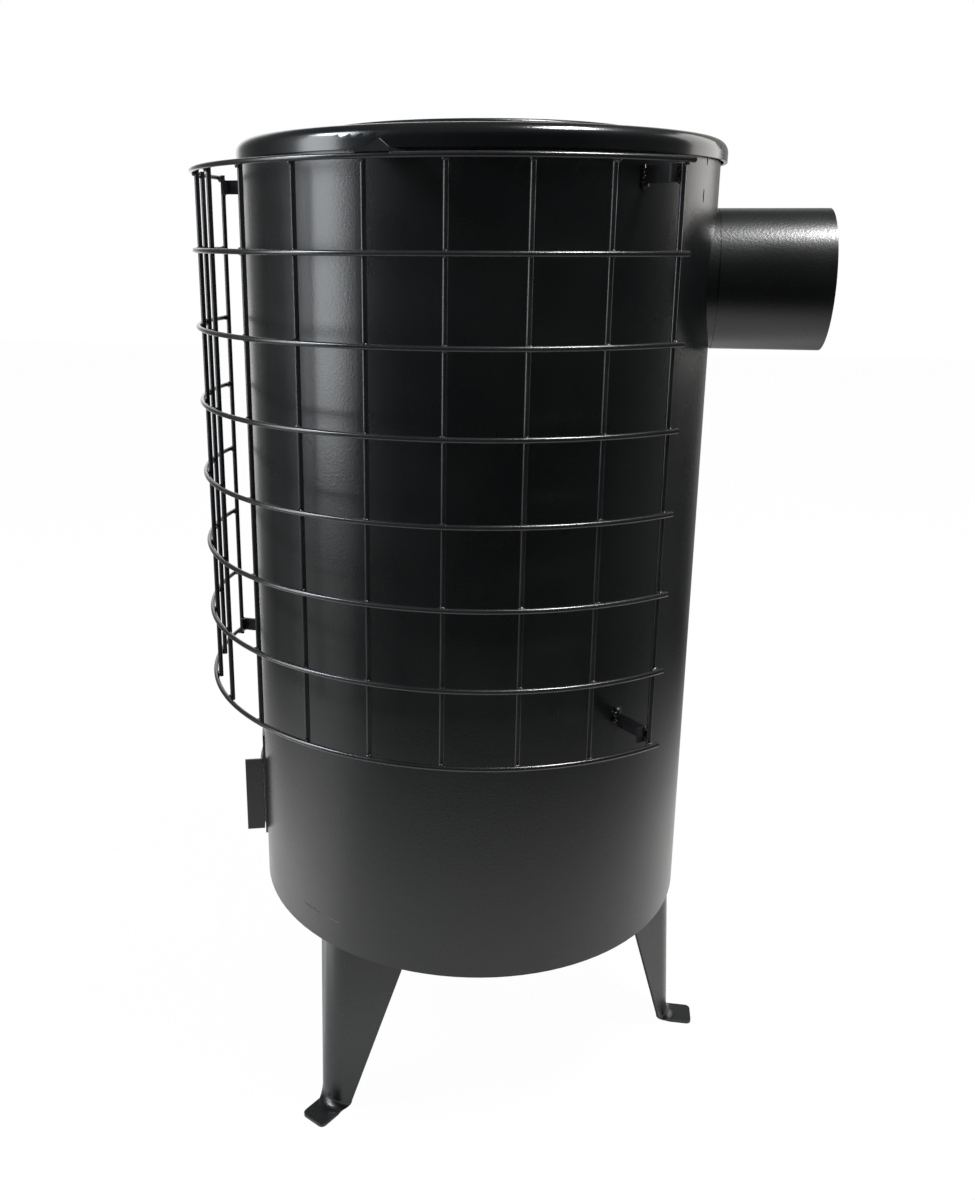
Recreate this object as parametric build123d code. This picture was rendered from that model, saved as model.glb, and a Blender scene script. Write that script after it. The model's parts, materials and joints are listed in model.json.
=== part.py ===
"""Round top-fed wood stove on three legs, with a wire guard, a flue spigot and an ash drawer.

Millimetres. The origin is on the floor under the drum's axis, +Z is up, the flue leaves
towards +Y and the ash drawer opens towards -Y. Angles are counted from +X, seen from above.
"""
from build123d import *
import math
import os

# Clearances
weld_gap = 0.15  # between curved faces that are welded together
seat_gap = 0.3  # between a loose piece and what carries it
rivet_gap = 0.05  # around a rivet's or bolt's shank

# Drum
drum_od = 346.0
drum_wall = 2.0
drum_bottom_z = 145.0
drum_top_z = 723.0
drum_r = drum_od / 2
drum_inner_r = drum_r - drum_wall

# Base plate, set up inside the drum's lower edge
base_sheet = 3.0
base_recess = 20.0
base_under_z = drum_bottom_z + base_recess
base_top_z = base_under_z + base_sheet

# Lid with its feed opening
lid_sheet = 2.5
lid_overhang = 4.5
lid_od = drum_od + 2 * lid_overhang
lid_skirt = 14.6
lid_shoulder = 8.5
lid_seat_rise = 2.0
lid_under_z = drum_top_z + lid_seat_rise
lid_top_z = lid_under_z + lid_sheet
feed_opening_d = 204.0
feed_collar_h = 4.5
feed_collar_wall = 3.0

# Feed cover and its strap handle
cover_od = 240.0
cover_height = 7.0
cover_sheet = 2.5
cover_lip_gap = 0.5
cover_top_z = lid_top_z + cover_height
strap_length = 96.0
strap_width = 18.0
strap_sheet = 2.5
strap_rise = 9.5
strap_foot = 15.0

# Flue spigot
flue_od = 100.0
flue_wall = 2.0
flue_z = 633.0
flue_reach = 251.5
flue_angle = 90.0
flue_root_step = 0.6  # the root is drawn in by this much where it sits in the drum
flue_root_end = drum_r + 1.0

# Legs, pressed from sheet as an angle with a rounded ridge
leg_sheet = 2.5
leg_half_angle = 49.0
leg_ridge_r = 20.0
leg_apex_past_drum = 3.6
leg_apex_r = drum_r + leg_apex_past_drum
leg_splay = 7.7
leg_wing_top = 63.0
leg_wing_foot = 20.0
leg_toe_width = 22.0
leg_toe_past_ridge = 21.9
leg_toe_behind_ridge = 12.1
leg_toe_reach = leg_apex_r + leg_toe_past_ridge
leg_toe_length = leg_toe_past_ridge + leg_toe_behind_ridge
leg_toe_corner = 4.0
leg_flange_length = 48.0
leg_flange_width = 36.0
leg_bolt_r = 3.0
leg_bolt_inset = 44.6  # from the leg's ridge towards the axis
leg_bolt_from_axis = leg_apex_r - leg_bolt_inset
leg_angles = {
    "leg_rear": flue_angle,
    "leg_front_left": flue_angle + 120,
    "leg_front_right": flue_angle - 120,
}

# Wire guard
wire_d = 3.5
guard_gap = 34.1  # between the drum and the middle of the mesh
guard_mesh_r = drum_r + guard_gap
guard_top_z = 706.6
guard_row_pitch = 53.9
guard_rows = 8
guard_arc_pitch = 49.8
guard_columns = 11
guard_first_angle = 42.7
guard_overhang = 5.0
guard_cross_gap = 0.2
hoop_r = guard_mesh_r + (wire_d + guard_cross_gap) / 2
upright_r = guard_mesh_r - (wire_d + guard_cross_gap) / 2
guard_bottom_z = guard_top_z - (guard_rows - 1) * guard_row_pitch
guard_column_step = math.degrees(guard_arc_pitch / guard_mesh_r)
guard_last_angle = guard_first_angle - (guard_columns - 1) * guard_column_step

# Guard brackets, flat strips on edge, and the middle bracket laid flat
strip_sheet = 2.0
strip_height = 10.5
strip_tab = 8.0
bracket_root = 5.0  # length inside the drum's radius before it is cut to the drum's curve
hook_width = 22.0
hook_angle = -10.4
hook_rise = 9.0
hook_outline = ((1.0, 5.0), (0.85, 3.5), (0.45, 0.0), (-0.2, 4.0), (-0.78, 4.0), (-1.0, 5.0))

# Drawer collar: a duct through the drum, flush with a curved flange
collar_width = 105.0
collar_bottom_z = 182.0
collar_height = 59.0
collar_sheet = 1.5
collar_depth = 18.0  # how far the duct reaches into the drum
collar_back_y = -(drum_r - collar_depth)
flange_lip = 26.0
flange_half_angle = 18.6
flange_drop = 4.0  # how far the flange reaches below the collar
flange_r = drum_r + weld_gap + collar_sheet
collar_top_z = collar_bottom_z + collar_height

# Ash drawer: a tray with a curved front whose ends are bent out to pull it by
drawer_angle = -90.0
front_height = 64.0
front_sheet = 1.5
front_r = flange_r + 0.8
front_outer_r = front_r + front_sheet
front_half_angle = 16.9
grip_reach = 14.15
grip_r = front_r + grip_reach
tray_side_gap = 1.0
tray_under_gap = 1.0
tray_sheet = 1.5
tray_height = 51.0
tray_back_y = 60.0
tray_r = front_r - weld_gap
tray_width = collar_width - 2 * collar_sheet - 2 * tray_side_gap
tray_bottom_z = collar_bottom_z + collar_sheet + tray_under_gap
front_bottom_z = collar_bottom_z + (collar_height - front_height) / 2

# Drawer runners, standing on the base plate
runner_sheet = 2.0
runner_ledge = 11.0
runner_height = 24.0
runner_collar_gap = 1.0
runner_past_tray = 4.0

# Air slide, a curved plate that turns round the drum's axis on the drawer front
air_slot_width = 9.0
air_slot_height = 16.0
air_slot_step = 7.8  # degrees
air_slot_count = 3
air_centre_z = front_bottom_z + front_height / 2
slide_height = 24.0
slide_sheet = 1.5
slide_turn = air_slot_step / 2
slide_low_angle = -11.4
slide_high_angle = 13.7
guide_half_angle = 15.6
guide_foot = 4.0
guide_lip = 3.0
guide_sheet = 1.2
guide_rivet_angle = 13.6
knob_d = 10.0
knob_length = 9.0
knob_head = 5.0
knob_edge = 2.0
knob_neck_d = 6.0
knob_tail_gap = 0.2
slide_r = front_outer_r + slide_sheet
lip_r = slide_r + seat_gap

# Grate and the ledge that carries it
ledge_z = 246.0
ledge_sheet = 3.0
ledge_width = 14.0
grate_thickness = 10.0
grate_clearance = 3.0
grate_slot_width = 10.0
grate_slot_pitch = 24.0
grate_rim = 18.0

# Fasteners
rivet_r = 2.0
rivet_head_r = 4.0
rivet_head_h = 1.4
bolt_head_h = 4.0
bolt_head_across = 10.0
nut_height = 5.0
bolt_end = 2.0  # how far a bolt stands out of its nut


def ring(outer_r, inner_r, z, height):
    """A round tube or washer standing on z."""
    solid = Cylinder(outer_r, height, align=(Align.CENTER, Align.CENTER, Align.MIN))
    hole = Cylinder(inner_r, height, align=(Align.CENTER, Align.CENTER, Align.MIN))
    return Pos(0, 0, z) * (solid - hole)


def disc(radius, z, height):
    """A round plate standing on z."""
    return Pos(0, 0, z) * Cylinder(radius, height, align=(Align.CENTER, Align.CENTER, Align.MIN))


def block(x0, x1, y0, y1, z0, z1):
    """A box between the given limits."""
    return Pos((x0 + x1) / 2, (y0 + y1) / 2, (z0 + z1) / 2) * Box(x1 - x0, y1 - y0, z1 - z0)


def along_y(radius, x, z, y0, y1):
    """A round bar from y0 to y1, parallel to Y."""
    return Pos(x, (y0 + y1) / 2, z) * Rot(90, 0, 0) * Cylinder(radius, y1 - y0)


def turned(shape, angle):
    """The shape, modelled along +X, turned to stand at the given angle."""
    return Rot(0, 0, angle) * shape


# Drum

def drum_shell():
    shell = ring(drum_r, drum_inner_r, drum_bottom_z, drum_top_z - drum_bottom_z)
    flue_hole = along_y(flue_od / 2 + weld_gap, 0, flue_z, 0, drum_od)
    half = collar_width / 2 + weld_gap
    drawer_hole = block(-half, half, -drum_od, 0, collar_bottom_z - weld_gap, collar_top_z + weld_gap)
    return shell - flue_hole - drawer_hole


def base_plate():
    plate = disc(drum_inner_r - weld_gap, base_under_z, base_sheet)
    for angle in leg_angles.values():
        hole = disc(leg_bolt_r + rivet_gap, base_under_z, base_sheet)
        plate -= turned(Pos(leg_bolt_from_axis, 0, 0) * hole, angle)
    return plate


def flue_spigot():
    outer_r = flue_od / 2
    tube = along_y(outer_r, 0, flue_z, flue_root_end, flue_reach)
    tube += along_y(outer_r - flue_root_step, 0, flue_z, 0, flue_root_end)
    tube -= along_y(outer_r - flue_wall, 0, flue_z, 0, flue_reach)
    return tube - disc(drum_inner_r, 0, drum_top_z)


# Legs

def leg_section(z):
    """Outline of the pressed sheet at height z, with its ridge towards +X."""
    fall = (drum_bottom_z - z) / drum_bottom_z
    apex = leg_apex_r + leg_splay * fall
    wing = leg_wing_top + (leg_wing_foot - leg_wing_top) * fall
    half = math.radians(leg_half_angle)
    centre = apex - leg_ridge_r / math.sin(half)
    tangent = leg_ridge_r / math.tan(half)
    along = (-math.cos(half), math.sin(half))
    normal = (math.sin(half), math.cos(half))
    ends = []
    for radius in (leg_ridge_r, leg_ridge_r - leg_sheet):
        start = (centre + normal[0] * radius, normal[1] * radius)
        reach = wing - tangent
        tip = (start[0] + along[0] * reach, start[1] + along[1] * reach)
        ends.append((tip, start, (centre + radius, 0.0)))
    (tip_o, start_o, crown_o), (tip_i, start_i, crown_i) = ends
    low = [(x, -y) for x, y in (tip_o, start_o, tip_i, start_i)]
    edges = [
        Line(tip_o, start_o),
        ThreePointArc(start_o, crown_o, low[1]),
        Line(low[1], low[0]),
        Line(low[0], low[2]),
        Line(low[2], low[3]),
        ThreePointArc(low[3], crown_i, start_i),
        Line(start_i, tip_i),
        Line(tip_i, tip_o),
    ]
    return Pos(0, 0, z) * make_face(Wire(edges))


def leg():
    """One leg, modelled towards +X: the ridged sheet, its toe and its bolted top flange."""
    sheet = loft([leg_section(0.0), leg_section(base_under_z)], ruled=True)
    toe_plan = RectangleRounded(leg_toe_length, leg_toe_width, leg_toe_corner)
    toe = Pos(leg_toe_reach - leg_toe_length / 2, 0, 0) * extrude(toe_plan, leg_sheet)
    ridge = leg_apex_r - leg_ridge_r / math.sin(math.radians(leg_half_angle)) + leg_ridge_r
    flange = block(
        ridge - leg_flange_length - leg_sheet,
        ridge - leg_sheet,
        -leg_flange_width / 2,
        leg_flange_width / 2,
        base_under_z - leg_sheet,
        base_under_z,
    )
    hole = Pos(leg_bolt_from_axis, 0, 0) * disc(leg_bolt_r + rivet_gap, drum_bottom_z, base_recess)
    return sheet + toe + flange - hole


def hexagon(across, z, height):
    return Pos(0, 0, z) * extrude(RegularPolygon(across / 2, 6, major_radius=False), height)


def leg_bolts():
    under = base_under_z - leg_sheet
    bolt = hexagon(bolt_head_across, under - bolt_head_h, bolt_head_h)
    bolt += disc(leg_bolt_r, under, leg_sheet + base_sheet + nut_height + bolt_end)
    return [turned(Pos(leg_bolt_from_axis, 0, 0) * bolt, angle) for angle in leg_angles.values()]


def leg_nuts():
    nut = hexagon(bolt_head_across, base_top_z, nut_height)
    nut -= disc(leg_bolt_r + rivet_gap, base_top_z, nut_height)
    return [turned(Pos(leg_bolt_from_axis, 0, 0) * nut, angle) for angle in leg_angles.values()]


# Lid and feed cover

def lid_pan():
    """Pressed pan with a rounded shoulder, a skirt over the drum and a raised feed collar."""
    outer_r = lid_od / 2
    pan = disc(outer_r, lid_top_z - lid_skirt, lid_skirt)
    pan = fillet(pan.edges().sort_by(Axis.Z)[-1], lid_shoulder)
    hollow = disc(outer_r - lid_sheet, lid_top_z - lid_skirt, lid_skirt - lid_sheet)
    hollow = fillet(hollow.edges().sort_by(Axis.Z)[-1], lid_shoulder - lid_sheet)
    opening_r = feed_opening_d / 2
    collar = ring(opening_r + feed_collar_wall, opening_r, lid_under_z, lid_sheet + feed_collar_h)
    return pan - hollow - disc(opening_r, 0, 2 * lid_top_z) + collar


def feed_cover():
    outer_r = cover_od / 2
    underside_z = cover_top_z - cover_sheet
    cover = disc(outer_r, lid_top_z + cover_lip_gap, cover_height - cover_lip_gap)
    cover = fillet(cover.edges().sort_by(Axis.Z)[-1], cover_sheet)
    cover -= disc(outer_r - cover_sheet, 0, underside_z)
    for y in strap_feet():
        cover -= Pos(0, y, 0) * disc(rivet_r + rivet_gap, 0, 2 * cover_top_z)
    return cover


def strap_feet():
    place = (strap_length - strap_foot) / 2
    return [-place, place]


def cover_handle():
    """Low strap along Y: two feet on the cover and a raised bar between them."""
    half = strap_length / 2
    inner = half - strap_foot
    bar_z = cover_top_z + strap_rise - strap_sheet
    width = strap_width / 2
    bar = block(-width, width, -inner, inner, bar_z, bar_z + strap_sheet)
    for side in (-1, 1):
        foot = block(-width, width, 0, strap_foot, cover_top_z, cover_top_z + strap_sheet)
        upright = block(-width, width, -strap_sheet, 0, cover_top_z, bar_z + strap_sheet)
        piece = Pos(0, inner, 0) * (foot + upright)
        bar += piece if side > 0 else mirror(piece, about=Plane.XZ)
    for y in strap_feet():
        bar -= Pos(0, y, 0) * disc(rivet_r + rivet_gap, 0, 2 * cover_top_z)
    return bar


def upright_rivet(top_z, bottom_z):
    """A rivet along Z through a stack from bottom_z to top_z."""
    return (
        disc(rivet_head_r, top_z, rivet_head_h)
        + disc(rivet_r, bottom_z, top_z - bottom_z)
        + disc(rivet_head_r, bottom_z - rivet_head_h, rivet_head_h)
    )


def cover_rivets():
    rivet = upright_rivet(cover_top_z + strap_sheet, cover_top_z - cover_sheet)
    return [Pos(0, y, 0) * rivet for y in strap_feet()]


# Wire guard

def guard_hoops():
    extra = math.degrees(guard_overhang / guard_mesh_r)
    sweep_angle = guard_first_angle - guard_last_angle + 2 * extra
    section = Plane.XZ * Pos(hoop_r, 0) * Circle(wire_d / 2)
    hoop = Rot(0, 0, guard_last_angle - extra) * revolve(section, Axis.Z, sweep_angle)
    return [Pos(0, 0, guard_top_z - row * guard_row_pitch) * hoop for row in range(guard_rows)]


def guard_uprights():
    low = guard_bottom_z - wire_d / 2
    wire = Pos(upright_r, 0, 0) * disc(wire_d / 2, low, guard_top_z - guard_bottom_z + wire_d)
    return [turned(wire, guard_first_angle - n * guard_column_step) for n in range(guard_columns)]


def guard_strip(angle, z, side):
    """A strip on edge from the drum to an upright, its end bent along the mesh."""
    outer = upright_r - wire_d / 2 - weld_gap
    low_y, high_y = sorted((0.0, side * strip_tab))
    strip = block(drum_r - bracket_root, outer, -strip_sheet / 2, strip_sheet / 2, z, z + strip_height)
    strip += block(outer - strip_sheet, outer, low_y, high_y, z, z + strip_height)
    return turned(strip - disc(drum_r + weld_gap, 0, 2 * drum_top_z), angle)


def guard_hook():
    """The middle bracket: a flat bar on the top hoop, its end turned up with a peaked edge."""
    outer = hoop_r + wire_d / 2
    low = guard_top_z + wire_d / 2 + seat_gap
    top = guard_top_z + hook_rise
    half = hook_width / 2
    bar = block(drum_r - bracket_root, outer, -half, half, low, low + strip_sheet)
    edge = [(half * share, top - drop) for share, drop in hook_outline]
    outline = Polyline((-half, low), (half, low), *edge, close=True)
    tab = extrude(Plane.YZ * make_face(outline), strip_sheet)
    hook = bar + Pos(outer - strip_sheet, 0, 0) * tab
    return turned(hook - disc(drum_r + weld_gap, 0, 2 * drum_top_z), hook_angle)


# Ash drawer

def sector(low_angle, high_angle, z, height):
    """A wedge from the drum's axis, between two angles counted from the drawer's direction."""
    points = [(0.0, 0.0)]
    for angle in (low_angle, high_angle):
        a = math.radians(drawer_angle + angle)
        points.append((drum_od * math.cos(a), drum_od * math.sin(a)))
    return Pos(0, 0, z) * extrude(make_face(Polyline(*points, close=True)), height)


def arc_plate(inner_r, outer_r, low_angle, high_angle, z, height):
    """A plate curved round the drum's axis, between two angles from the drawer's direction."""
    return ring(outer_r, inner_r, z, height) & sector(low_angle, high_angle, z, height)


def outward(shape, angle):
    """The shape, modelled towards +X, turned to an angle from the drawer's direction."""
    return turned(shape, drawer_angle + angle)


def drawer_collar():
    """Rectangular duct through the drum with a curved flange round its mouth."""
    half = collar_width / 2
    duct = block(-half, half, -drum_od, collar_back_y, collar_bottom_z, collar_top_z)
    duct -= block(
        -half + collar_sheet, half - collar_sheet, -drum_od, collar_back_y,
        collar_bottom_z + collar_sheet, collar_top_z - collar_sheet,
    )
    duct &= disc(flange_r, collar_bottom_z, collar_height)
    low = collar_bottom_z - flange_drop
    height = collar_height + flange_drop + flange_lip
    side = flange_half_angle
    flange = arc_plate(drum_r + weld_gap, flange_r, -side, side, low, height)
    flange -= block(-half, half, -drum_od, 0, collar_bottom_z, collar_top_z)
    return duct + flange


def air_slots(inner_r, outer_r):
    """The row of air slots as radial cutting blocks."""
    blocks = []
    z0, z1 = air_centre_z - air_slot_height / 2, air_centre_z + air_slot_height / 2
    for n in range(air_slot_count):
        cutter = block(inner_r, outer_r, -air_slot_width / 2, air_slot_width / 2, z0, z1)
        blocks.append(outward(cutter, (n - (air_slot_count - 1) / 2) * air_slot_step))
    return blocks


def radial_bar(radius, angle, z, inner_r, outer_r):
    """A round bar that points out of the drum's axis."""
    bar = Pos((inner_r + outer_r) / 2, 0, z) * Rot(0, 90, 0) * Cylinder(radius, outer_r - inner_r)
    return outward(bar, angle)


def guide_fixings():
    """Rivet places of the two guides: (angle, z)."""
    rise = slide_height / 2 + seat_gap + guide_foot / 2
    angles = (-guide_rivet_angle, guide_rivet_angle)
    return [(angle, air_centre_z + dz) for angle in angles for dz in (-rise, rise)]


def drilled(shape):
    """The shape with the rivet holes of the guides."""
    for angle, z in guide_fixings():
        shape -= radial_bar(rivet_r / 2 + rivet_gap, angle, z, tray_r - 2 * tray_sheet, grip_r)
    return shape


def ash_tray():
    """Tray whose front wall follows the curved front."""
    half = tray_width / 2
    tray = block(-half, half, -drum_od, tray_back_y, tray_bottom_z, tray_bottom_z + tray_height)
    tray &= disc(tray_r, tray_bottom_z, tray_height)
    floor_z = tray_bottom_z + tray_sheet
    hollow = block(
        -half + tray_sheet, half - tray_sheet, -drum_od, tray_back_y - tray_sheet,
        floor_z, floor_z + tray_height,
    )
    tray -= hollow & disc(tray_r - tray_sheet, floor_z, tray_height)
    for cutter in air_slots(tray_r - 2 * tray_sheet, grip_r):
        tray -= cutter
    return drilled(tray)


def drawer_front():
    """Curved plate over the collar, its ends bent straight out as two upright grips."""
    side = front_half_angle
    front = arc_plate(front_r, front_outer_r, -side, side, front_bottom_z, front_height)
    z1 = front_bottom_z + front_height
    for angle, low_y, high_y in ((-side, 0.0, front_sheet), (side, -front_sheet, 0.0)):
        front += outward(block(front_r + front_sheet / 2, grip_r, low_y, high_y, front_bottom_z, z1), angle)
    for cutter in air_slots(tray_r - 2 * tray_sheet, grip_r):
        front -= cutter
    return drilled(front)


def air_slide():
    z = air_centre_z - slide_height / 2
    slide = arc_plate(front_outer_r + rivet_gap, slide_r, slide_low_angle, slide_high_angle, z, slide_height)
    for cutter in air_slots(front_r, grip_r):
        slide -= cutter
    return slide - radial_bar(knob_neck_d / 4 + rivet_gap, slide_turn, air_centre_z, front_r, grip_r)


def air_knob():
    """Knob on a stem that is riveted through the slide."""
    end_r = slide_r + knob_length
    head = outward(
        Pos(end_r - knob_head / 2, 0, air_centre_z) * Rot(0, 90, 0) * knob_body(),
        slide_turn,
    )
    stem = radial_bar(knob_neck_d / 2, slide_turn, air_centre_z, slide_r + rivet_gap, end_r - knob_head)
    tail = radial_bar(
        knob_neck_d / 4, slide_turn, air_centre_z,
        front_outer_r + knob_tail_gap, slide_r + rivet_gap,
    )
    return head + stem + tail


def knob_body():
    body = Cylinder(knob_d / 2, knob_head)
    return fillet(body.edges().sort_by(Axis.Z)[-1], knob_edge)


def air_guides():
    """Two curved strips that hold the slide's long edges."""
    guides = []
    side = guide_half_angle
    edge = slide_height / 2 + seat_gap
    for low, lip_low in ((edge, edge - guide_lip), (-edge - guide_foot, -edge - guide_foot)):
        foot = arc_plate(front_outer_r + rivet_gap, lip_r, -side, side, air_centre_z + low, guide_foot)
        lip = arc_plate(
            lip_r, lip_r + guide_sheet, -side, side, air_centre_z + lip_low, guide_foot + guide_lip
        )
        guides.append(drilled(foot + lip))
    return guides


def guide_rivets():
    """Rivets from a head on the guide to one behind the tray's front wall."""
    head_r, tail_r = lip_r + guide_sheet, tray_r - tray_sheet
    rivets = []
    for angle, z in guide_fixings():
        rivet = radial_bar(rivet_r / 2, angle, z, tail_r - rivet_gap, head_r + rivet_gap)
        for inner_r in (head_r + rivet_gap, tail_r - rivet_gap - rivet_head_h):
            rivet += radial_bar(rivet_head_r / 2, angle, z, inner_r, inner_r + rivet_head_h)
        rivets.append(rivet)
    return rivets


def drawer_runners():
    """Two angles on the base plate that carry the tray's bottom edges."""
    outer = tray_width / 2 + tray_side_gap + runner_sheet
    y0 = collar_back_y + runner_collar_gap
    y1 = tray_back_y + runner_past_tray
    ledge_top = tray_bottom_z - seat_gap
    runner = block(outer - runner_sheet, outer, y0, y1, base_top_z, base_top_z + runner_height)
    runner += block(
        outer - runner_sheet - runner_ledge, outer - runner_sheet, y0, y1,
        ledge_top - runner_sheet, ledge_top,
    )
    return [runner, mirror(runner, about=Plane.YZ)]


# Grate

def grate_ledge():
    outer = drum_inner_r - weld_gap
    return ring(outer, outer - ledge_width, ledge_z, ledge_sheet)


def grate():
    radius = drum_inner_r - grate_clearance
    plate = disc(radius, ledge_z + ledge_sheet, grate_thickness)
    field = radius - grate_rim
    count = int(field // grate_slot_pitch)
    for n in range(-count, count + 1):
        x = n * grate_slot_pitch
        half = math.sqrt(field**2 - x**2) - grate_slot_width / 2
        if half > grate_slot_width:
            slot = SlotOverall(2 * half, grate_slot_width, rotation=90)
            plate -= Pos(x, 0, ledge_z) * extrude(slot, 2 * grate_thickness)
    return plate


strip_low_z = guard_bottom_z + wire_d / 2 + seat_gap
strip_high_z = guard_top_z - wire_d / 2 - seat_gap - strip_height

nodes = {
    "drum_shell": drum_shell(),
    "base_plate": base_plate(),
    "flue_spigot": flue_spigot(),
    "lid_pan": lid_pan(),
    "feed_cover": feed_cover(),
    "cover_handle": cover_handle(),
    "cover_rivets": cover_rivets(),
    "guard_hoops": guard_hoops(),
    "guard_uprights": guard_uprights(),
    "guard_strip_rear_upper": guard_strip(guard_first_angle, strip_high_z, -1),
    "guard_strip_rear_lower": guard_strip(guard_first_angle, strip_low_z, -1),
    "guard_strip_front_upper": guard_strip(guard_last_angle, strip_high_z, 1),
    "guard_strip_front_lower": guard_strip(guard_last_angle, strip_low_z, 1),
    "guard_hook": guard_hook(),
    "drawer_collar": drawer_collar(),
    "drawer_runners": drawer_runners(),
    "ash_tray": ash_tray(),
    "drawer_front": drawer_front(),
    "air_slide": air_slide(),
    "air_knob": air_knob(),
    "air_guides": air_guides(),
    "guide_rivets": guide_rivets(),
    "grate_ledge": grate_ledge(),
    "grate": grate(),
    "leg_bolts": leg_bolts(),
    "leg_nuts": leg_nuts(),
}
one_leg = leg()
for leg_name, leg_angle in leg_angles.items():
    nodes[leg_name] = turned(one_leg, leg_angle)

os.makedirs("parts", exist_ok=True)
for node_name, shape in nodes.items():
    whole = Compound(children=list(shape)) if isinstance(shape, list) else shape
    export_step(whole, f"parts/{node_name}.step")
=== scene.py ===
"""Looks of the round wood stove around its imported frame.

Metres, in the frame's axes: the origin is on the floor under the drum's axis, +Z is up, the flue
leaves towards +Y and the ash drawer opens towards -Y. Angles are counted from +X, seen from above.
"""
import json
import math

import bmesh
import bpy
from mathutils import Matrix, Vector, noise


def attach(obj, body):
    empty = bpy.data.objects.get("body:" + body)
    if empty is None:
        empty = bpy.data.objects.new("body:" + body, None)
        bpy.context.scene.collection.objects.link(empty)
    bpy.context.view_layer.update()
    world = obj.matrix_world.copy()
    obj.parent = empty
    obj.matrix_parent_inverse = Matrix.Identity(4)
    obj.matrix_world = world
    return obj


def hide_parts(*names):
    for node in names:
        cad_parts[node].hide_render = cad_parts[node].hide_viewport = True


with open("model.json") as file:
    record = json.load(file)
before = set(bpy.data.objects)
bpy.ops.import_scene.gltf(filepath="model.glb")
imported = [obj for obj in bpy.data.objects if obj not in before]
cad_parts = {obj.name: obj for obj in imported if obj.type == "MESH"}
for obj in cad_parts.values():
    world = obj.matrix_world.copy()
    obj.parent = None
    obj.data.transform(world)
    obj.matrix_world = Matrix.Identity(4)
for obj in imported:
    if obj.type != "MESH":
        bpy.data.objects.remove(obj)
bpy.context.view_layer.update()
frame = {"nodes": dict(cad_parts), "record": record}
nodes = frame["nodes"]

# Sizes that the added pieces share with the frame
DRUM_R = 0.173
DRUM_BOTTOM = 0.145
BASE_UNDER = 0.165
MESH_R = 0.2071
MESH_TOP = 0.7066
MESH_PITCH = 0.0539
MESH_ROWS = 8
MESH_COLUMNS = 11
MESH_FIRST = 42.7
MESH_STEP = math.degrees(0.0498 / MESH_R)
MESH_BOTTOM = MESH_TOP - (MESH_ROWS - 1) * MESH_PITCH
MESH_LAST = MESH_FIRST - (MESH_COLUMNS - 1) * MESH_STEP
LEG_ANGLES = {"leg_rear": 90.0, "leg_front_left": 210.0, "leg_front_right": -30.0}

# The photograph's camera, fitted to the guard's crossings and the drum's outline
CAMERA_ANGLE = 6.6
CAMERA_REACH = 0.8571
CAMERA_HEIGHT = 0.6607
CAMERA_YAW = math.radians(-2.531)
CAMERA_PITCH = math.radians(15.390)
CAMERA_ROLL = math.radians(0.195)
FOCAL_PX = 1098.5
PHOTO_SIZE = (975, 1200)
PRINCIPAL = (426.7, 541.5)
SENSOR = 36.0


# Materials


def add_node(tree, kind, **values):
    """A shader node, with its inputs set by name or number and its properties by name."""
    node = tree.nodes.new(kind)
    for key, value in values.items():
        if key.startswith("_"):
            setattr(node, key[1:], value)
        else:
            node.inputs[key.replace("_", " ")].default_value = value
    return node


def noise_node(tree, where, scale, detail=2.0):
    node = add_node(tree, "ShaderNodeTexNoise", Scale=scale, Detail=detail)
    tree.links.new(where, node.inputs["Vector"])
    return node.outputs["Fac"]


def mapped(tree, value, low, high, out_low, out_high):
    node = tree.nodes.new("ShaderNodeMapRange")
    for name, number in (("From Min", low), ("From Max", high), ("To Min", out_low), ("To Max", out_high)):
        node.inputs[name].default_value = number
    tree.links.new(value, node.inputs["Value"])
    return node.outputs["Result"]


def bump_chain(tree, heights):
    """Bump nodes one after another, from (height, distance in metres, strength)."""
    normal = None
    for height, distance, strength in heights:
        node = add_node(tree, "ShaderNodeBump", Strength=strength, Distance=distance)
        tree.links.new(height, node.inputs["Height"])
        if normal is not None:
            tree.links.new(normal, node.inputs["Normal"])
        normal = node.outputs["Normal"]
    return normal


PATCH_SCALE = 14.0
PATCH_EDGES = (0.3, 0.7)
WAVE_SCALE = 45.0
BUMP_STRENGTH = 0.5


def surface(name, dark, light, rough, metallic=0.0, specular=0.5, grain=900.0, peel=0.00002, wave=0.00006):
    """A finish whose colour and roughness run between two values in soft patches.

    Its orange-peel surface has fine bumps of height peel and noise scale grain, and broad ones of height wave.
    """
    material = bpy.data.materials.new(name)
    material.use_nodes = True
    tree = material.node_tree
    shader = tree.nodes["Principled BSDF"]
    where = tree.nodes.new("ShaderNodeTexCoord").outputs["Object"]
    patches = noise_node(tree, where, PATCH_SCALE, 4.0)
    ramp = tree.nodes.new("ShaderNodeValToRGB")
    for stop, position, colour in zip(ramp.color_ramp.elements, PATCH_EDGES, (dark, light)):
        stop.position = position
        stop.color = (*colour, 1.0)
    tree.links.new(patches, ramp.inputs["Fac"])
    tree.links.new(ramp.outputs["Color"], shader.inputs["Base Color"])
    fine = noise_node(tree, where, grain, 2.0)
    coarse = noise_node(tree, where, WAVE_SCALE, 3.0)
    tree.links.new(mapped(tree, patches, *PATCH_EDGES, *rough), shader.inputs["Roughness"])
    shader.inputs["Metallic"].default_value = metallic
    shader.inputs["Specular IOR Level"].default_value = specular
    normal = bump_chain(tree, [(coarse, wave, BUMP_STRENGTH), (fine, peel, BUMP_STRENGTH)])
    tree.links.new(normal, shader.inputs["Normal"])
    return material


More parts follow.
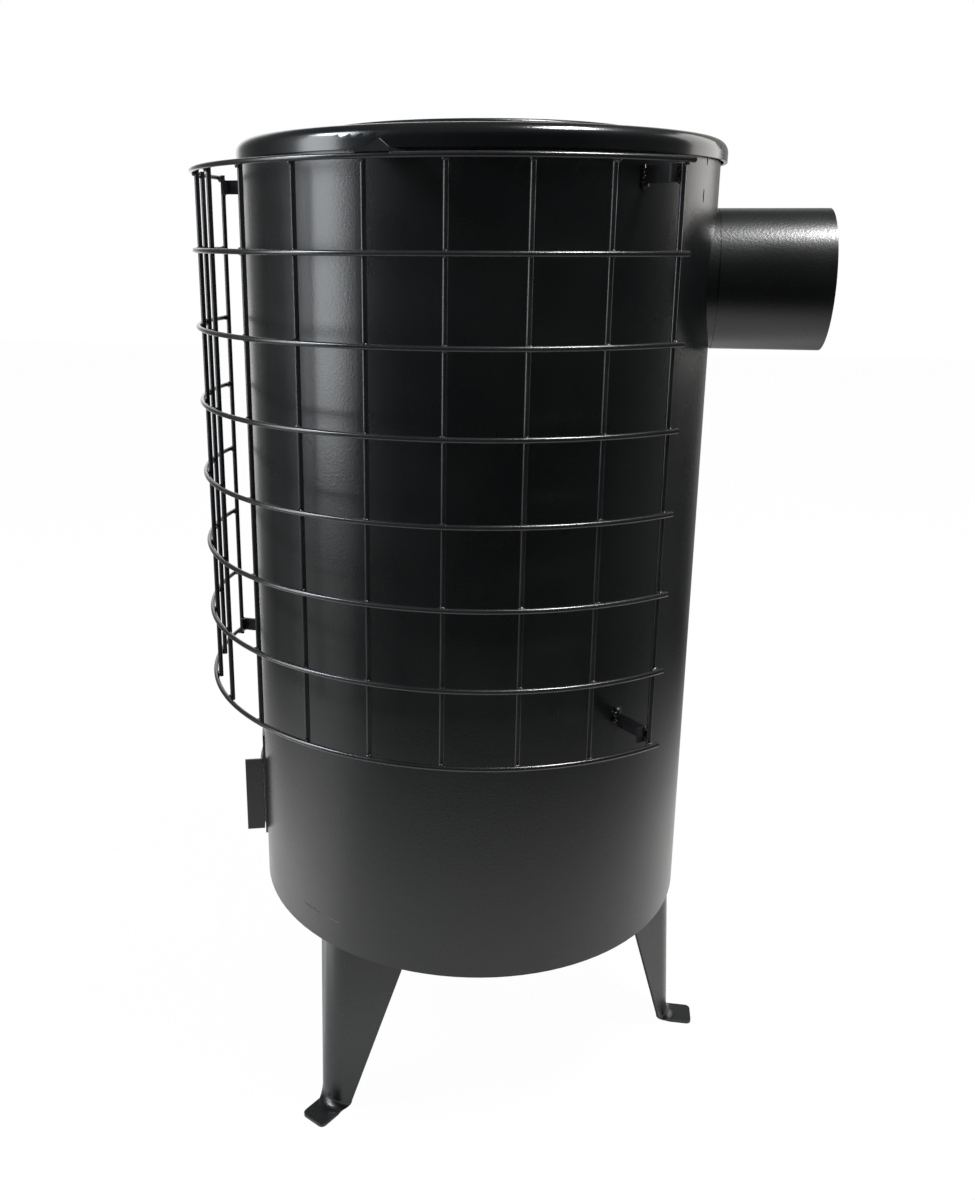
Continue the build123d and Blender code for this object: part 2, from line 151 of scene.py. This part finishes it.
PAINT_BLACKS = (0.0026, 0.0030, 0.0033), (0.0038, 0.0044, 0.0047)
MATERIALS = {
    "black_paint": surface("stove_black", *PAINT_BLACKS, (0.25, 0.31), grain=600.0, peel=0.00016),
    "wire_black": surface("wire_black", (0.006, 0.006, 0.007), (0.010, 0.010, 0.011), (0.20, 0.28),
                          grain=700.0, peel=0.00001),
    "bare_steel": surface("mill_steel", (0.30, 0.30, 0.29), (0.42, 0.42, 0.41), (0.34, 0.48), metallic=1.0,
                          grain=500.0, peel=0.00001),
    "cast_iron": surface("cast_iron", (0.045, 0.045, 0.048), (0.075, 0.074, 0.076), (0.55, 0.68),
                         grain=380.0, peel=0.00012, wave=0.0001),
}
LID = surface("lid_black", *PAINT_BLACKS, (0.16, 0.21), grain=700.0, peel=0.00004)
SLIT = surface("slit_shadow", (0.0008, 0.0008, 0.0008), (0.0015, 0.0015, 0.0015), (0.7, 0.8), specular=0.1)

slots = {row["node"]: row["material_slot"] for row in frame["record"]["subparts"]}
for name, cad in nodes.items():
    cad.data.materials.clear()
    cad.data.materials.append(LID if name == "lid_pan" else MATERIALS[slots[name]])


# Mesh helpers


def finish_piece(name, mesh_data, slot, body="stove", replaces=(), material=None):
    """Links the bmesh as a smooth piece that rides on a body, in its slot's material or a given one."""
    mesh = bpy.data.meshes.new(name)
    bmesh.ops.recalc_face_normals(mesh_data, faces=mesh_data.faces)
    mesh_data.to_mesh(mesh)
    mesh_data.free()
    for polygon in mesh.polygons:
        polygon.use_smooth = True
    piece = bpy.data.objects.new(name, mesh)
    bpy.context.scene.collection.objects.link(piece)
    mesh.materials.append(material or MATERIALS[slot])
    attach(piece, body)
    if replaces:
        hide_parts(*replaces)
    return piece


def grid_faces(work, rows, close_across=False):
    """Quads between rows of vertices."""
    for row, after in zip(rows, rows[1:]):
        span = len(row) if close_across else len(row) - 1
        for n in range(span):
            m = (n + 1) % len(row)
            work.faces.new((row[n], row[m], after[m], after[n]))


def polar(radius, degrees, z=0.0):
    a = math.radians(degrees)
    return Vector((radius * math.cos(a), radius * math.sin(a), z))


def add_lump(work, centre, radii, seed, rough=0.25, turn=None):
    """A rounded, slightly uneven lump of weld metal."""
    made = bmesh.ops.create_icosphere(work, subdivisions=3, radius=1.0)["verts"]
    turn = turn or Matrix.Identity(3)
    for vert in made:
        swell = 1.0 + rough * noise.noise(vert.co * 1.7 + Vector((seed, seed * 0.37, 0.0)))
        vert.co = centre + turn @ Vector(a * b * swell for a, b in zip(vert.co, radii))


def upright_turn(degrees):
    """Axes of a place on the drum: outward, along its circle, up."""
    return Matrix.Rotation(math.radians(degrees), 3, "Z")


# Legs: the pressed sheet with its rounded ridge, bent outwards into a flat toe

LEG_SHEET = 0.0025
LEG_HALF = math.radians(49.0)
RIDGE_R = 0.020
APEX_R = 0.1766
SPLAY = 0.0077
WING_TOP, WING_FOOT = 0.063, 0.0184
TOE_REACH = 0.1985
TOE_HALF = 0.011
TOE_CORNER = 0.004
BEND_R = 0.009
LEG_ACROSS = 40
LEG_DOWN = 26
LEG_FLANGE_LENGTH = 0.0505
LEG_FLANGE_HALF = 0.018
LEG_EDGE = 0.0004
BEND_STEPS = 14
TOE_STEPS = 10


def leg_point(z, share):
    """Plan point (x, y) of the leg's outer face at height z; share runs from -1 to 1 across the sheet."""
    fall = (DRUM_BOTTOM - z) / DRUM_BOTTOM
    apex = APEX_R + SPLAY * fall
    wing = WING_TOP + (WING_FOOT - WING_TOP) * fall
    tangent = RIDGE_R / math.tan(LEG_HALF)
    turn = math.pi / 2 - LEG_HALF
    arc = RIDGE_R * turn
    along = abs(share) * (arc + wing - tangent)
    centre = apex - RIDGE_R / math.sin(LEG_HALF)
    if along < arc:
        angle = along / RIDGE_R
        x, y = centre + RIDGE_R * math.cos(angle), RIDGE_R * math.sin(angle)
    else:
        rest = along - arc
        x = centre + RIDGE_R * math.sin(LEG_HALF) - rest * math.cos(LEG_HALF)
        y = RIDGE_R * math.cos(LEG_HALF) + rest * math.sin(LEG_HALF)
    return x, math.copysign(y, share) if share else 0.0


def leg_sheet(work):
    """The outer face of the sheet as a grid: down the leg, round the bend and out along the toe."""
    shares = [-1 + 2 * n / LEG_ACROSS for n in range(LEG_ACROSS + 1)]
    rows = []
    for n in range(LEG_DOWN + 1):
        z = BASE_UNDER - (BASE_UNDER - BEND_R) * n / LEG_DOWN
        rows.append([work.verts.new((*leg_point(z, share), z)) for share in shares])
    foot = [leg_point(BEND_R, share) for share in shares]
    foot_half = foot[-1][1]
    for n in range(1, BEND_STEPS + 1):
        angle = math.pi / 2 * n / BEND_STEPS
        squeeze = 1 + (TOE_HALF / foot_half - 1) * math.sin(angle / 2) ** 2 * 2
        rows.append([
            work.verts.new((x + BEND_R * (1 - math.cos(angle)), y * squeeze, BEND_R * (1 - math.sin(angle))
                            + LEG_SHEET * math.sin(angle)))
            for x, y in foot
        ])
    last = [vert.co.copy() for vert in rows[-1]]
    for n in range(1, TOE_STEPS + 1):
        share = n / TOE_STEPS
        row = []
        for point in last:
            over = max(0.0, abs(point.y) - (TOE_HALF - TOE_CORNER))
            tip = TOE_REACH - TOE_CORNER + math.sqrt(max(0.0, TOE_CORNER**2 - over**2))
            row.append(work.verts.new((point.x + (tip - point.x) * share, point.y, point.z)))
        rows.append(row)
    grid_faces(work, rows)
    return rows


def thicken(work, rows, sheet):
    """Gives the grid its sheet thickness, on the side away from the outer face."""
    work.normal_update()
    inner = []
    for row in rows:
        inner.append([work.verts.new(vert.co - vert.normal * sheet) for vert in row])
    grid_faces(work, inner)
    across, down = len(rows[0]) - 1, len(rows) - 1
    for n in range(across):
        work.faces.new((rows[0][n], rows[0][n + 1], inner[0][n + 1], inner[0][n]))
        work.faces.new((rows[down][n], rows[down][n + 1], inner[down][n + 1], inner[down][n]))
    for n in range(down):
        work.faces.new((rows[n][0], rows[n + 1][0], inner[n + 1][0], inner[n][0]))
        work.faces.new((rows[n][across], rows[n + 1][across], inner[n + 1][across], inner[n][across]))


def add_box(work, low, high):
    made = bmesh.ops.create_cube(work, size=1.0)["verts"]
    size = Vector(high) - Vector(low)
    middle = (Vector(high) + Vector(low)) / 2
    for vert in made:
        vert.co = middle + Vector(a * b for a, b in zip(vert.co, size))


def bevelled(piece, width, segments=2):
    """Rounds the piece's sharp edges with a modifier, so that sheet edges catch the light."""
    modifier = piece.modifiers.new("edges", "BEVEL")
    modifier.width = width
    modifier.segments = segments
    modifier.limit_method = "ANGLE"
    modifier.angle_limit = math.radians(40)
    modifier.harden_normals = True


def make_leg(name, degrees):
    work = bmesh.new()
    rows = leg_sheet(work)
    work.normal_update()
    if rows[3][LEG_ACROSS // 2].normal.x < 0:
        bmesh.ops.reverse_faces(work, faces=work.faces)
    thicken(work, rows, LEG_SHEET)
    flange_out = leg_point(BASE_UNDER, 0)[0] - LEG_SHEET
    add_box(work, (flange_out - LEG_FLANGE_LENGTH, -LEG_FLANGE_HALF, BASE_UNDER - LEG_SHEET),
            (flange_out, LEG_FLANGE_HALF, BASE_UNDER))
    bmesh.ops.rotate(work, verts=work.verts, cent=(0, 0, 0), matrix=upright_turn(degrees))
    piece = finish_piece(name + "_pressed", work, "black_paint", replaces=(name,))
    bevelled(piece, LEG_EDGE)


for leg_name, leg_angle in LEG_ANGLES.items():
    make_leg(leg_name, leg_angle)


# Weld spots of the guard, one at each crossing, under the hoop in the top row

TOP_SPOT_DROP = 0.0012
SPOT_RADII = (0.0019, 0.0024, 0.0022)
work = bmesh.new()
for row in range(MESH_ROWS):
    for column in range(MESH_COLUMNS):
        angle = MESH_FIRST - column * MESH_STEP
        z = MESH_TOP - row * MESH_PITCH
        seed = row * 13.1 + column * 7.7
        if row == 0:
            z -= TOP_SPOT_DROP
        add_lump(work, polar(MESH_R, angle, z), SPOT_RADII, seed, 0.5, upright_turn(angle))
finish_piece("guard_weld_spots", work, "wire_black")

# Weld lumps where the brackets meet the drum and the guard

STRIP_INSET = 0.0083  # from the outer hoops to the middle of a strip
STRIPS = [(MESH_FIRST, MESH_TOP - STRIP_INSET, -1), (MESH_FIRST, MESH_BOTTOM + STRIP_INSET, -1),
          (MESH_LAST, MESH_TOP - STRIP_INSET, 1), (MESH_LAST, MESH_BOTTOM + STRIP_INSET, 1)]
DRUM_LUMPS, DRUM_LUMP_START, DRUM_LUMP_STEP = 5, -0.0048, 0.0024
DRUM_LUMP_RADII = (0.0019, 0.0026, 0.0021)
GUARD_LUMP_HEIGHTS = (-0.0032, 0.0034)
GUARD_LUMP_RADII = (0.0017, 0.0019, 0.0020)
HOOK_ANGLE = -10.4
HOOK_LUMPS, HOOK_LUMP_START, HOOK_LUMP_STEP = 7, -0.009, 0.003
HOOK_LUMP_RISE = 0.0029
HOOK_LUMP_RADII = (0.0016, 0.0022, 0.0016)
work = bmesh.new()
for number, (angle, z, side) in enumerate(STRIPS):
    turn = upright_turn(angle)
    for n in range(DRUM_LUMPS):
        dz = DRUM_LUMP_START + DRUM_LUMP_STEP * n
        across = 0.0012 * math.sin(3.1 * n + number)
        centre = polar(DRUM_R + 0.0008, angle, z + dz) + turn @ Vector((0, across, 0))
        add_lump(work, centre, DRUM_LUMP_RADII, 5.0 * number + n, 0.6, turn)
    for dz in GUARD_LUMP_HEIGHTS:
        centre = polar(MESH_R - 0.0034, angle, z + dz) + turn @ Vector((0, 0.0008 * side, 0))
        add_lump(work, centre, GUARD_LUMP_RADII, 9.0 * number + dz * 100, 0.6, turn)
turn = upright_turn(HOOK_ANGLE)
for n in range(HOOK_LUMPS):
    across = HOOK_LUMP_START + HOOK_LUMP_STEP * n
    centre = polar(DRUM_R + 0.0006, HOOK_ANGLE, MESH_TOP + HOOK_LUMP_RISE) + turn @ Vector((0, across, 0))
    add_lump(work, centre, HOOK_LUMP_RADII, 31.0 + n, 0.5, turn)
finish_piece("bracket_welds", work, "black_paint")


# Marks on the drum


def add_bead(work, bead_r, z, tube_r, start, end, steps=48, section=10):
    """A thin bead along the drum between two angles, tapered at its ends."""
    rows = []
    for n in range(steps + 1):
        thick = tube_r * max(0.08, math.sin(math.pi * n / steps) ** 0.5)
        centre = polar(bead_r, start + (end - start) * n / steps, z)
        out = Vector((centre.x, centre.y, 0)).normalized()
        ring = []
        for k in range(section):
            a = 2 * math.pi * k / section
            rise = Vector((0, 0, thick * BEAD_TALL * math.sin(a)))
            ring.append(work.verts.new(centre + out * (thick * math.cos(a)) + rise))
        rows.append(ring)
    grid_faces(work, rows, close_across=True)
    work.faces.new(rows[0])
    work.faces.new(rows[-1])


# The base plate's weld shows through the drum only over the leg on the camera's side
BEAD_TALL = 1.6
BEAD_Z = 0.1670
BEAD_TUBE = 0.0004
BEAD_START, BEAD_END = -41.0, -26.0
work = bmesh.new()
add_bead(work, DRUM_R - 0.0001, BEAD_Z, BEAD_TUBE, BEAD_START, BEAD_END)
finish_piece("base_seam_bead", work, "black_paint")

# Two short slits in the drum's seam as (angle, height, half length)
SLITS = ((66.8, 0.7112, 0.0032), (65.8, 0.6890, 0.0042))
work = bmesh.new()
for angle, z, half in SLITS:
    add_lump(work, polar(DRUM_R, angle, z), (0.0002, 0.00045, half), 1.0, 0.0, upright_turn(angle))
finish_piece("seam_slits", work, "black_paint", material=SLIT)


# Stage: a pale floor, and studio walls with a floor of their own that only the gloss sees


def to_white(tree, share_seen, share_gloss):
    """How far a surface goes to white for camera rays, and for glossy and transmission rays."""
    path = tree.nodes.new("ShaderNodeLightPath")
    gloss = tree.nodes.new("ShaderNodeMath")
    gloss.operation = "MAXIMUM"
    tree.links.new(path.outputs["Is Glossy Ray"], gloss.inputs[0])
    tree.links.new(path.outputs["Is Transmission Ray"], gloss.inputs[1])
    scaled = tree.nodes.new("ShaderNodeMath")
    scaled.operation = "MULTIPLY"
    scaled.inputs[1].default_value = share_gloss
    tree.links.new(gloss.outputs[0], scaled.inputs[0])
    seen = tree.nodes.new("ShaderNodeMath")
    seen.operation = "MULTIPLY_ADD"
    seen.inputs[1].default_value = share_seen
    tree.links.new(path.outputs["Is Camera Ray"], seen.inputs[0])
    tree.links.new(scaled.outputs[0], seen.inputs[2])
    return seen.outputs[0]


FLOOR_HALF = 6.0
work = bmesh.new()
corners = ((-FLOOR_HALF, -FLOOR_HALF), (FLOOR_HALF, -FLOOR_HALF),
           (FLOOR_HALF, FLOOR_HALF), (-FLOOR_HALF, FLOOR_HALF))
work.faces.new([work.verts.new((x, y, -0.0001)) for x, y in corners])
floor_mesh = bpy.data.meshes.new("floor")
work.to_mesh(floor_mesh)
work.free()
floor = bpy.data.objects.new("floor", floor_mesh)
bpy.context.scene.collection.objects.link(floor)
floor_material = bpy.data.materials.new("pale_floor")
floor_material.use_nodes = True
tree = floor_material.node_tree
tree.nodes.remove(tree.nodes["Principled BSDF"])
diffuse = add_node(tree, "ShaderNodeBsdfDiffuse", Color=(0.62, 0.62, 0.61, 1.0))
glow = add_node(tree, "ShaderNodeEmission", Color=(1.0, 1.0, 1.0, 1.0), Strength=1.0)
mix = tree.nodes.new("ShaderNodeMixShader")
tree.links.new(to_white(tree, 0.98, 0.1), mix.inputs["Fac"])
tree.links.new(diffuse.outputs[0], mix.inputs[1])
tree.links.new(glow.outputs[0], mix.inputs[2])
tree.links.new(mix.outputs[0], tree.nodes["Material Output"].inputs["Surface"])
floor_mesh.materials.append(floor_material)

# Walls as (angle from the camera's direction, brightness), towards the picture's right counted up
WALLS = (
    (-180, 1.8), (-162, 1.8), (-145, 0.80), (-118, 0.12), (-100, 0.25), (-84, 0.55),
    (-70, 0.60), (-56, 0.22), (-35, 0.06), (0, 0.015), (50, 0.02), (80, 0.05),
    (105, 0.12), (126, 0.05), (147, 0.28), (163, 0.6), (180, 1.8),
)
WALL_R = 3.2
# The floor near the stove is bright in the gloss, and fades out by NEAR_END
NEAR_START, NEAR_END = 0.45, 1.1
WALL_TOP = 2.6
WALL_STEPS = 96
WALL_FOOT_R = 0.30
WALL_FLOOR_Z = 0.0005
work = bmesh.new()
rows = []
for radius, z in ((WALL_FOOT_R, WALL_FLOOR_Z), (WALL_R, WALL_FLOOR_Z), (WALL_R, WALL_TOP)):
    rows.append([work.verts.new(polar(radius, 360.0 * n / WALL_STEPS, z)) for n in range(WALL_STEPS)])
grid_faces(work, rows, close_across=True)
walls_mesh = bpy.data.meshes.new("studio_walls")
work.to_mesh(walls_mesh)
work.free()
walls = bpy.data.objects.new("studio_walls", walls_mesh)
bpy.context.scene.collection.objects.link(walls)
wall_material = bpy.data.materials.new("studio_wall")
wall_material.use_nodes = True
tree = wall_material.node_tree
tree.nodes.remove(tree.nodes["Principled BSDF"])
where = tree.nodes.new("ShaderNodeTexCoord").outputs["Object"]
turned = add_node(tree, "ShaderNodeVectorRotate", _rotation_type="Z_AXIS", Angle=math.radians(-CAMERA_ANGLE))
tree.links.new(where, turned.inputs["Vector"])
parts = tree.nodes.new("ShaderNodeSeparateXYZ")
tree.links.new(turned.outputs[0], parts.inputs[0])
around = add_node(tree, "ShaderNodeMath", _operation="ARCTAN2")
tree.links.new(parts.outputs["Y"], around.inputs[0])
tree.links.new(parts.outputs["X"], around.inputs[1])
share = mapped(tree, around.outputs[0], -math.pi, math.pi, 0.0, 1.0)
curve = tree.nodes.new("ShaderNodeFloatCurve")
points = curve.mapping.curves[0].points
while len(points) > 2:
    points.remove(points[1])
points[0].location = (0.0, WALLS[0][1])
points[1].location = (1.0, WALLS[-1][1])
for angle, bright in WALLS[1:-1]:
    points.new((angle + 180) / 360, bright)
curve.mapping.update()
tree.links.new(share, curve.inputs["Value"])
reach = add_node(tree, "ShaderNodeVectorMath", _operation="LENGTH")
tree.links.new(where, reach.inputs[0])
near = add_node(tree, "ShaderNodeMath", _operation="POWER")
tree.links.new(mapped(tree, reach.outputs["Value"], NEAR_END, NEAR_START, 0.0, 1.0), near.inputs[0])
near.inputs[1].default_value = 2.0
bright = add_node(tree, "ShaderNodeMath", _operation="ADD")
tree.links.new(curve.outputs[0], bright.inputs[0])
tree.links.new(near.outputs[0], bright.inputs[1])
glow = add_node(tree, "ShaderNodeEmission", Color=(0.99, 1.0, 0.98, 1.0))
tree.links.new(bright.outputs[0], glow.inputs["Strength"])
tree.links.new(glow.outputs[0], tree.nodes["Material Output"].inputs["Surface"])
walls_mesh.materials.append(wall_material)
walls.visible_camera = False
walls.visible_diffuse = False
walls.visible_transmission = False
walls.visible_shadow = False

# The world is white to the camera, a soft fill to matt surfaces and dim to gloss
WORLD_FILL = 0.55
WORLD_GLOSS = 0.12
world = bpy.data.worlds.new("studio")
bpy.context.scene.world = world
world.use_nodes = True
tree = world.node_tree
background = tree.nodes["Background"]
background.inputs["Color"].default_value = (1.0, 1.0, 1.0, 1.0)
level = add_node(tree, "ShaderNodeMath", _operation="ADD")
level.inputs[1].default_value = WORLD_FILL
tree.links.new(to_white(tree, 1.0 - WORLD_FILL, WORLD_GLOSS - WORLD_FILL), level.inputs[0])
tree.links.new(level.outputs[0], background.inputs["Strength"])


def add_lamp(name, angle, reach, height, aim_height, width, tall, watts, colour=(1.0, 1.0, 1.0)):
    """A soft rectangular lamp that faces the drum's axis; angle counts from the camera's direction."""
    lamp = bpy.data.lights.new(name, "AREA")
    lamp.shape = "RECTANGLE"
    lamp.size, lamp.size_y = width, tall
    lamp.energy = watts
    lamp.color = colour
    holder = bpy.data.objects.new(name, lamp)
    holder.location = polar(reach, CAMERA_ANGLE + angle, height)
    aim = Vector((0, 0, aim_height)) - holder.location
    holder.rotation_mode = "QUATERNION"
    holder.rotation_quaternion = aim.to_track_quat("-Z", "Y")
    bpy.context.scene.collection.objects.link(holder)
    return holder


add_lamp("window", -72, 1.7, 1.10, 0.80, 0.62, 1.75, 27.0, (0.92, 0.96, 1.0))
add_lamp("window_top", -72, 1.6, 1.75, 0.75, 0.6, 0.35, 24.0, (0.84, 0.92, 1.0))
add_lamp("ceiling", 65, 0.80, 2.2, 0.5, 0.5, 0.35, 60.0)
add_lamp("room_right", 120, 2.0, 1.2, 0.5, 1.2, 1.6, 16.0, (1.0, 0.98, 0.95))

# Camera

ahead = Vector((math.sin(CAMERA_YAW) * math.cos(CAMERA_PITCH), math.cos(CAMERA_YAW) * math.cos(CAMERA_PITCH),
                -math.sin(CAMERA_PITCH)))
right = Vector((math.cos(CAMERA_YAW), -math.sin(CAMERA_YAW), 0))
up = right.cross(ahead)
picture_right = right * math.cos(CAMERA_ROLL) + up * math.sin(CAMERA_ROLL)
picture_up = up * math.cos(CAMERA_ROLL) - right * math.sin(CAMERA_ROLL)
axes = Matrix((picture_right, picture_up, -ahead)).transposed().to_4x4()
camera_data = bpy.data.cameras.new("camera")
camera_data.sensor_width = SENSOR
camera_data.lens = FOCAL_PX / PHOTO_SIZE[1] * SENSOR
camera_data.shift_x = (PHOTO_SIZE[0] / 2 - PRINCIPAL[0]) / PHOTO_SIZE[1]
camera_data.shift_y = (PRINCIPAL[1] - PHOTO_SIZE[1] / 2) / PHOTO_SIZE[1]
camera_data.clip_start = 0.01
camera = bpy.data.objects.new("camera", camera_data)
place = Matrix.Translation((0, -CAMERA_REACH, CAMERA_HEIGHT)) @ axes
camera.matrix_world = Matrix.Rotation(math.radians(90 + CAMERA_ANGLE), 4, "Z") @ place
bpy.context.scene.collection.objects.link(camera)
bpy.context.scene.camera = camera

bpy.context.scene.view_settings.view_transform = "Standard"
